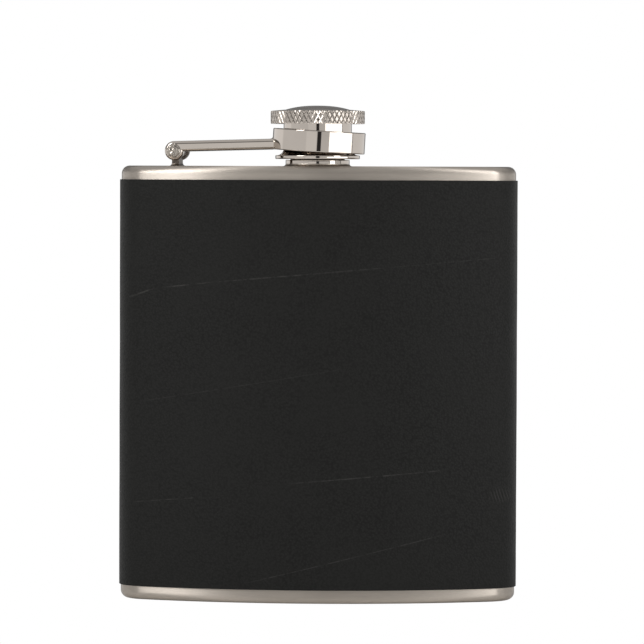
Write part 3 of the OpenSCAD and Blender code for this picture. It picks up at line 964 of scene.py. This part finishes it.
class FLASK_OT_post(bpy.types.Operator):
    """Builds the hinge post and the braze round its foot"""
    bl_idname = "flask.post"
    bl_label = "Build hinge post"

    def execute(self, context):
        arm, neck = context.scene.flask_arm, context.scene.flask_neck
        height = PIN.z - BODY_TOP
        half = arm.strap_w / 2 - arm.cheek_t - arm.cheek_gap

        def side(inset):
            foot, eye = arm.post_w / 2 - inset, arm.eye_r - inset
            join = degrees(asin(foot / eye))
            head = arc(0, height, eye, join - 90, 270 - join, 40)
            return [Vector((-foot, 0)), Vector((foot, 0)), *head]

        hole = arm.pin_r + arm.pin_gap
        across = Matrix.Translation((0, 0, height)) @ ALONG_PIN
        drill = turned([(0, -2 * half), (hole, -2 * half), (hole, 2 * half), (0, 2 * half)], 48, across)
        post = cut(slab(side, half, arm.post_edge), drill)
        post.transform(at_hinge())
        # The post and its braze take the dark metal as painted shade.
        publish(post, "hinge_post_milled", "flask", [finish_of(shade_painted_metal)],
                ["hinge_post"])
        rings = [self.bead_ring(r, z, half) for r, z in fillet(0, neck.weld)]
        bead = skin(rings, section=True)
        publish(bead, "post_braze", "flask", [finish_of(shade_painted_metal)], ["post_weld"], 60)
        return {"FINISHED"}

    def bead_ring(self, r, z, half):
        """One ring of the bead round the post's square foot, r out from it, with an uneven edge."""
        half_w = bpy.context.scene.flask_arm.post_w / 2
        ring = []
        for k, (across, along) in enumerate(((1, -1), (1, 1), (-1, 1), (-1, -1))):
            x, y = across * half_w, along * half
            for i in range(7):
                t = radians(90 * k - 90 + 15 * i)
                reach = r * (1 + 0.18 * noise.noise(Vector((x, y, t)) * 900)) if r > 0 else r
                ring.append(at_hinge() @ Vector((x + reach * cos(t), y + reach * sin(t), z)))
        return ring


class FLASK_OT_arm(bpy.types.Operator):
    """Builds the arm's strap with its two knuckles, and the peened pin"""
    bl_idname = "flask.arm"
    bl_label = "Build arm"
    SLOT_ROOM = 0.9 * MM  # gap between the post and the end of the slot
    SLOT_CORNER = 0.5 * MM  # rounding of the slot's corners
    RING_GRIP = 0.15 * MM  # how far the strap runs into the ring
    EDGE_BLOWS = 1700  # hammer marks in a metre, round the heads' edges
    FACE_BLOWS = 1500  # and on their faces

    def execute(self, context):
        arm = context.scene.flask_arm
        self.build_strap(arm)
        self.build_pin(arm)
        return {"FINISHED"}

    def build_strap(self, arm):
        """The strap: a slab with a slot for the post at one end and the ring's bore at the other."""
        rise = Matrix.Rotation(arm.strap_rise, 2)

        def side(inset):
            r = arm.knuckle_r - inset
            low = arm.knuckle_r - arm.strap_t + inset
            end = [rise @ Vector((arm_length(), z)) for z in (low, r)]
            under = rise @ Vector((sqrt(max(r * r - low * low, 0)), low))
            start = degrees(atan2(under.y, under.x))
            return [*arc(0, 0, r, 90 + degrees(arm.strap_rise), 360 + start, 44), *end]

        slot = arm.strap_w / 2 - arm.cheek_t
        reach = max(arm.eye_r, arm.post_w / 2) + self.SLOT_ROOM
        past, tall = 3 * arm.knuckle_r, 2 * arm.knuckle_r
        box = rounded([(-past, -slot, 0), (reach, -slot, self.SLOT_CORNER), (reach, slot, self.SLOT_CORNER),
                       (-past, slot, 0)])
        mill = skin([[Vector((*p, z)) for p in box] for z in (-tall, tall)], caps=True)
        strap = cut(slab(side, arm.strap_w / 2, arm.strap_edge), mill)
        strap.transform(at_hinge() @ Matrix.Translation((0, 0, PIN.z - BODY_TOP)))
        bore, deep = arm.ring_r - self.RING_GRIP, 4 * arm.ring_h
        reamer = turned([(0, -deep), (bore, -deep), (bore, deep), (0, deep)], 144, at_ring())
        publish(cut(strap, reamer), "arm_strap", "arm", [finish_of(polished_stainless)],
                ["hinge_arm"], 28)

    def build_pin(self, arm):
        """The pin, with its two ends hammered over."""
        half = arm.strap_w / 2
        dome = [Vector((arm.head_r * (1 - k / 14), half + arm.head_h * (1 - (1 - k / 14) ** 5)))
                for k in range(15)]
        outer = [Vector((arm.pin_r, half)), *dome]
        profile = [*outer, *[Vector((p.x, -p.y)) for p in outer[::-1]]]

        def hammered(t, radius, z):
            spot = Vector((radius * cos(t), radius * sin(t), z))
            return 0.5 * arm.dents * noise.noise(spot * self.EDGE_BLOWS) if radius > arm.pin_r else 0

        pin = turned(profile, 64, ALONG_PIN, hammered)
        for v in pin.verts:
            if abs(v.co.y) > half + 0.3 * arm.head_h:
                dent = max(-1, min(0.0, noise.noise(v.co * self.FACE_BLOWS) - 0.3))
                v.co.y += (1 if v.co.y > 0 else -1) * arm.dents * dent * 2
        pin.transform(at_hinge() @ Matrix.Translation((0, 0, PIN.z - BODY_TOP)))
        publish(pin, "hinge_pin_peened", "arm", [finish_of(peened_pin_steel)], ["hinge_pin"],
                45)


class FLASK_OT_ring(bpy.types.Operator):
    """Builds the captive ring and the fillet that joins the strap to it"""
    bl_idname = "flask.ring"
    bl_label = "Build ring"
    SHORT = 0.4 * MM  # how far the fillet ends short of the strap's edges
    SUNK = 0.12 * MM  # how far it runs into the ring
    DROP = 0.25 * MM  # how far it runs into the strap

    def execute(self, context):
        arm, neck = context.scene.flask_arm, context.scene.flask_neck
        inner, half, edge = arm.ring_r - arm.ring_t, arm.ring_h / 2, arm.ring_edge
        profile = rounded([(inner, -half, edge), (arm.ring_r, -half, edge), (arm.ring_r, half, edge),
                           (inner, half, edge)])
        ring = turned(profile, 180, at_ring())
        publish(ring, "captive_ring_turned", "arm", [finish_of(polished_stainless)],
                ["captive_ring"])
        low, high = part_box("ring_weld")
        foot = Vector((0, 0, (at_ring().inverted() @ ((low + high) / 2)).z - neck.weld / 2))
        reach = asin((arm.strap_w / 2 - self.SHORT) / arm.ring_r)
        steps = 30
        strip = []
        for k in range(steps + 1):
            t = pi - reach + 2 * reach * k / steps
            way = Vector((cos(t), sin(t), 0))
            taper = sqrt(max(0.02, 1 - (2 * k / steps - 1) ** 2))
            leg = neck.weld * taper * (1 + 0.15 * noise.noise(Vector((0.7 * k, 0, 0))))
            section = [(-self.SUNK, -self.DROP), (leg, -self.DROP), (leg, 0), (0.42 * leg, 0.18 * leg),
                       (0.14 * leg, 0.45 * leg), (0, leg), (-self.SUNK, leg)]
            points = [foot + way * (arm.ring_r + r) + Vector((0, 0, z)) for r, z in section]
            strip.append([at_ring() @ point for point in points])
        publish(skin(strip, caps=True), "ring_braze", "arm", [finish_of(silver_braze)],
                ["ring_weld"], 60)
        return {"FINISHED"}


class FLASK_OT_thimble(bpy.types.Operator):
    """Builds the cap's barrel with its flared lip and domed crown"""
    bl_idname = "flask.thimble"
    bl_label = "Build cap barrel"

    def execute(self, context):
        cap = context.scene.flask_cap
        lip_r = (CROWN_HIGH.x - LIP_LOW.x) / 2
        foot, top = LIP_LOW.z - BODY_TOP, COLLAR_HIGH.z - BODY_TOP
        peak, roof = CROWN_HIGH.z - BODY_TOP, LINER_HIGH.z - BODY_TOP
        bore = cap.barrel_r - cap.barrel_t
        soft = 0.2 * cap.lip_t
        rise = peak - top - cap.crown_step
        lead_in, seam = 0.3 * MM, 0.12 * MM
        lip_top = foot + cap.lip_t
        profile = [(bore, roof), (bore, foot + lead_in), (bore + lead_in, foot)]
        profile += arc(lip_r - soft, foot + soft, soft, -90, 0, 4)
        profile += arc(lip_r - soft, lip_top - soft, soft, 0, 90, 4)
        profile += arc(cap.barrel_r + cap.flare_r, lip_top + cap.flare_r, cap.flare_r, 270, 180, 10)
        profile += [(cap.barrel_r, top - 0.5 * MM), (cap.barrel_r, top - 0.02 * MM)]
        profile += [(cap.crown_r + seam, top + 0.01 * MM), (cap.crown_r, top + cap.crown_step)]
        profile += [(cap.crown_r * (1 - k / 16), peak - rise * (1 - k / 16) ** cap.fullness)
                    for k in range(1, 17)]
        profile += [(0, roof)]
        barrel = turned(profile, 180, at_neck())
        for face in barrel.faces:
            face.material_index = 1 if face.calc_center_median().z > BODY_TOP + top else 0
        publish(barrel, "cap_barrel", "cap",
                [finish_of(polished_stainless), finish_of(spun_crown_steel)], ["cap_thimble"], 25)
        return {"FINISHED"}


class FLASK_OT_collar(bpy.types.Operator):
    """Builds the collar with its diamond knurl"""
    bl_idname = "flask.collar"
    bl_label = "Build knurled collar"
    FINE = 5  # columns of points across half a diamond
    CREST = 0.4  # share of a diamond's height at which its worn crest is cut off
    EASED = 0.22 * MM  # height over which the collar's two edges are eased

    def execute(self, context):
        cap = context.scene.flask_cap
        radius = (COLLAR_HIGH.x - COLLAR_LOW.x) / 2
        low, high = COLLAR_LOW.z - BODY_TOP, COLLAR_HIGH.z - BODY_TOP
        rim = high - cap.slope
        columns = 2 * cap.knurl_count * self.FINE
        across = 2 * pi * radius / columns
        step = across / tan(cap.knurl_lean)
        rows = ceil((rim - low) / step)
        shift = (rows * step - (rim - low)) / 2
        profile = [(cap.barrel_r, low), (radius - cap.knurl_d - cap.edge, low)]
        first = len(profile)
        profile += [(radius, min(rim, max(low, low - shift + k * step))) for k in range(rows + 1)]
        profile += [(radius - cap.knurl_d - cap.edge, rim + 0.04 * MM), (cap.barrel_r, high)]
        rings = []
        for k, (r, z) in enumerate(profile):
            row = k - first
            ring = []
            for i in range(columns):
                t = 2 * pi * i / columns
                dip = 0.0
                if 0 <= row <= rows:
                    dip = cap.knurl_d * (1 - self.knurl(i, row))
                    near = min(z - low, rim - z)
                    dip += 0.5 * cap.edge * max(0, 1 - near / self.EASED)
                ring.append(at_neck() @ Vector(((r - dip) * cos(t), (r - dip) * sin(t), z)))
            rings.append(ring)

        def split(k, i):
            return self.groove_way(i, k - first) if first <= k < first + rows else 0

        collar = skin(rings, section=True, split=split)
        publish(collar, "collar_knurled", "cap", [finish_of(knurled_stainless)],
                ["knurled_collar"], 20)
        return {"FINISHED"}

    def knurl(self, i, row):
        """Height of the knurl at a grid point, from 0 in a groove to 1 on a crest."""
        period = 2 * self.FINE
        laps = [(i + row) / period, (i - row) / period]
        height = min(1 - abs(2 * (lap - floor(lap)) - 1) for lap in laps)
        diamond = Vector((floor(laps[0]), floor(laps[1]), 0))
        worn = 1 + 0.15 * noise.noise(diamond * 3.7)
        return min(1, height / self.CREST) * worn

    def groove_way(self, i, row):
        """Which way to cut a grid cell, so that no cut crosses a groove."""
        period = 2 * self.FINE
        return -1 if (i + row + 1) % period == 0 else 1


class FLASK_OT_insert(bpy.types.Operator):
    """Builds the cap's threaded liner and its sealing disc"""
    bl_idname = "flask.insert"
    bl_label = "Build liner and seal"
    ROW = 0.08 * MM  # height of one row of points on the liner's thread

    def execute(self, context):
        cap, neck = context.scene.flask_cap, context.scene.flask_neck
        self.build_liner(cap, neck)
        self.build_seal(cap, neck)
        return {"FINISHED"}

    def build_liner(self, cap, neck):
        """The liner, with a thread that clears the neck's so that the cap can turn."""
        bore = cap.barrel_r - cap.barrel_t
        wall = bore - cap.liner_wall
        crest = neck.thread_r + cap.liner_gap
        seat = crest + 0.05 * MM
        foot, top = LINER_LOW.z - BODY_TOP, LINER_HIGH.z - BODY_TOP
        under = SEAL_LOW.z - BODY_TOP
        start, stop = foot + 0.25 * MM, under - 0.1 * MM
        rows = ceil((stop - start) / self.ROW)
        profile = [(bore, foot), (bore, top), (0, top), (0, top - cap.liner_roof),
                   (seat, top - cap.liner_roof), (seat, under), (wall, stop)]
        profile += [(wall, stop - (stop - start) * k / rows) for k in range(1, rows + 1)]
        profile += [(wall + 0.08 * MM, foot)]

        def thread(t, radius, z):
            return (crest - wall) * ridge(t, z, neck.thread_p / 2) if abs(radius - wall) < SAME else 0

        liner = turned(profile, 160, at_neck(), thread)
        publish(liner, "liner_moulded", "cap", [finish_of(moulded_polypropylene)],
                ["thread_liner"])

    def build_seal(self, cap, neck):
        """The sealing disc, marked by the neck's rim."""
        low, high = SEAL_LOW.z - BODY_TOP, SEAL_HIGH.z - BODY_TOP
        edge, side = 0.15 * MM, (SEAL_HIGH.x - SEAL_LOW.x) / 2 - 0.03 * MM
        rim = (neck.bore_r + neck.thread_r - neck.thread_d) / 2
        wide, narrow, marked = 0.5 * MM, 0.25 * MM, low + cap.seal_mark
        profile = [(0, high), *arc(side - edge, high - edge, edge, 90, 0, 4),
                   *arc(side - edge, low + edge, edge, 0, -90, 4)]
        profile += [(rim + wide, low), (rim + narrow, marked), (rim - narrow, marked), (rim - wide, low)]
        profile += [(0, low)]
        disc = turned(profile, 120, at_neck())
        publish(disc, "seal_disc", "cap", [finish_of(pressed_silicone)], ["cap_gasket"])


class FLASK_OT_studio(bpy.types.Operator):
    """Builds the pale floor, the lights and the camera"""
    bl_idname = "flask.studio"
    bl_label = "Build studio"
    # How bright the walls are at headings in degrees: 0 is in front of the flask and 90 to its right.
    WALLS = (
        (-180, 0.2), (-156, 0.2), (-149, 0.92), (-102, 0.92), (-97, 0.74), (-31, 0.72), (-28, 0.82),
        (-3, 0.82), (-2, 0.03), (7, 0.03), (8, 0.66), (26, 0.68), (92, 0.6), (92.6, 0.1), (95, 0.1),
        (96, 0.85), (156, 0.85), (163, 0.25), (180, 0.2),
    )
    # What is above the walls: where it starts and is full, as the sine of its height, and its brightness.
    BANDS = ((0.14, 0.18, 0.21), (0.56, 0.64, 0.62))
    FLOOR_SIZE = 0.6
    FLOOR_GAP = 0.05 * MM

    def execute(self, context):
        studio = context.scene.flask_studio
        self.build_floor()
        self.build_room(context.scene, studio)
        # Each softbox: name, heading and height in degrees, distance, width and height in metres, radiance.
        boxes = (
            ("key_right", 60.5, -0.5, 1.5, 1.91, 0.3, studio.key),
            ("strip_left", -49, 29, 1.5, 0.48, 0.9, 1.85 * studio.strip),
            ("strip_right", 58, 27, 1.5, 0.46, 1.15, 1.15 * studio.strip),
        )
        for box in boxes:
            self.build_softbox(*box)
        self.build_camera(context.scene, studio)
        context.scene.view_settings.view_transform = "Standard"
        return {"FINISHED"}

    def build_floor(self):
        """A table top just under the flask's base."""
        data = bpy.data.meshes.new("floor")
        mesh = bmesh.new()
        bmesh.ops.create_grid(mesh, x_segments=12, y_segments=12, size=self.FLOOR_SIZE)
        mesh.to_mesh(data)
        mesh.free()
        data.materials.append(finish_of(painted_floor))
        floor_piece = bpy.data.objects.new("floor", data)
        floor_piece.location.z = -self.FLOOR_GAP
        bpy.context.scene.collection.objects.link(floor_piece)

    def build_room(self, scene, studio):
        """A pale room with a dark band above its walls and a narrow dark gap in front.

        The camera itself sees it as plain white.
        """
        world = bpy.data.worlds.new("pale_room")
        scene.world = world
        world.use_nodes = True
        tree = world.node_tree
        tree.nodes.clear()
        x, y, z = add(tree, "SeparateXYZ", (add(tree, "TexCoord", give="Generated"),)).node.outputs
        front = add(tree, "Math", (y, -1.0), operation="MULTIPLY")
        heading = add(tree, "Math", (x, front), operation="ARCTAN2")
        seen = add(tree, "ValToRGB", (add(tree, "MapRange", (heading, -pi, pi, 0.0, 1.0)),))
        ramp = seen.node.color_ramp
        ramp.interpolation = "LINEAR"
        while len(ramp.elements) < len(self.WALLS):
            ramp.elements.new(0.5)
        for stop, (degree, bright) in zip(ramp.elements, self.WALLS):
            stop.position = (degree + 180) / 360
            stop.color = (bright, bright, bright, 1)
        for start, full, bright in self.BANDS:
            seen = mottle(tree, z, start, full, seen, (bright, bright, bright, 1))
        camera_ray = add(tree, "LightPath", give="Is Camera Ray")
        shown = add(tree, "Mix", {"Factor": camera_ray, "A": seen, "B": (1, 1, 1, 1)}, "Result",
                    data_type="RGBA")
        light = add(tree, "Background", {"Color": shown, "Strength": studio.room})
        add(tree, "OutputWorld", {"Surface": light})

    @staticmethod
    def build_softbox(name, heading, up, distance, width, height, radiance):
        """A softbox that faces the flask from a heading and a height, unseen by the camera itself."""
        data = bpy.data.lights.new(name, "AREA")
        data.shape = "RECTANGLE"
        data.size, data.size_y = width, height
        data.energy = radiance * pi * width * height
        light = bpy.data.objects.new(name, data)
        bpy.context.scene.collection.objects.link(light)
        t, e = radians(heading), radians(up)
        way = Vector((sin(t) * cos(e), -cos(t) * cos(e), sin(e)))
        light.location = way * distance + Vector((0, 0, BODY_TOP / 2))
        light.rotation_euler = way.to_track_quat("Z", "Y").to_euler()
        light.visible_camera = False

    @staticmethod
    def build_camera(scene, studio):
        """The camera, in front of the flask and a little to its right, on a 36 mm sensor."""
        data = bpy.data.cameras.new("camera")
        data.sensor_width = 36
        data.lens = studio.lens
        data.clip_start, data.clip_end = 0.05, 50
        camera = bpy.data.objects.new("camera", data)
        scene.collection.objects.link(camera)
        camera.location = (studio.aside + studio.distance * sin(studio.yaw),
                           -studio.distance * cos(studio.yaw), studio.height)
        level = Euler((radians(90) - studio.pitch, 0, studio.yaw)).to_matrix()
        camera.rotation_euler = (level @ Matrix.Rotation(studio.roll, 3, "Z")).to_euler()
        scene.camera = camera


OPERATORS = (FLASK_OT_studio, FLASK_OT_shell, FLASK_OT_plates, FLASK_OT_wrap, FLASK_OT_neck, FLASK_OT_post,
             FLASK_OT_arm, FLASK_OT_ring, FLASK_OT_thimble, FLASK_OT_collar, FLASK_OT_insert)


class FLASK_PT_sidebar(bpy.types.Panel):
    """The flask's operators and sizes"""
    bl_label = "Hip flask"
    bl_idname = "FLASK_PT_sidebar"
    bl_space_type = "VIEW_3D"
    bl_region_type = "UI"
    bl_category = "Flask"

    def draw(self, context):
        for kind in OPERATORS:
            self.layout.operator(kind.bl_idname)
        for name, group in GROUPS:
            box = self.layout.box()
            box.label(text=group.__name__)
            for key in group.__annotations__:
                box.prop(getattr(context.scene, name), key)


def register():
    """Registers the classes and hangs the settings on the scene."""
    for _, group in GROUPS:
        bpy.utils.register_class(group)
    for kind in (*OPERATORS, FLASK_PT_sidebar):
        bpy.utils.register_class(kind)
    for name, group in GROUPS:
        setattr(bpy.types.Scene, name, bpy.props.PointerProperty(type=group))


def unregister():
    """Takes the settings off the scene and unregisters the classes."""
    for name, _ in GROUPS:
        delattr(bpy.types.Scene, name)
    for kind in (FLASK_PT_sidebar, *OPERATORS[::-1]):
        bpy.utils.unregister_class(kind)
    for _, group in GROUPS[::-1]:
        bpy.utils.unregister_class(group)


def main():
    """Builds the whole flask and its studio."""
    register()
    for kind in OPERATORS:
        group, name = kind.bl_idname.split(".")
        getattr(getattr(bpy.ops, group), name)()


if __name__ == "__main__":
    main()
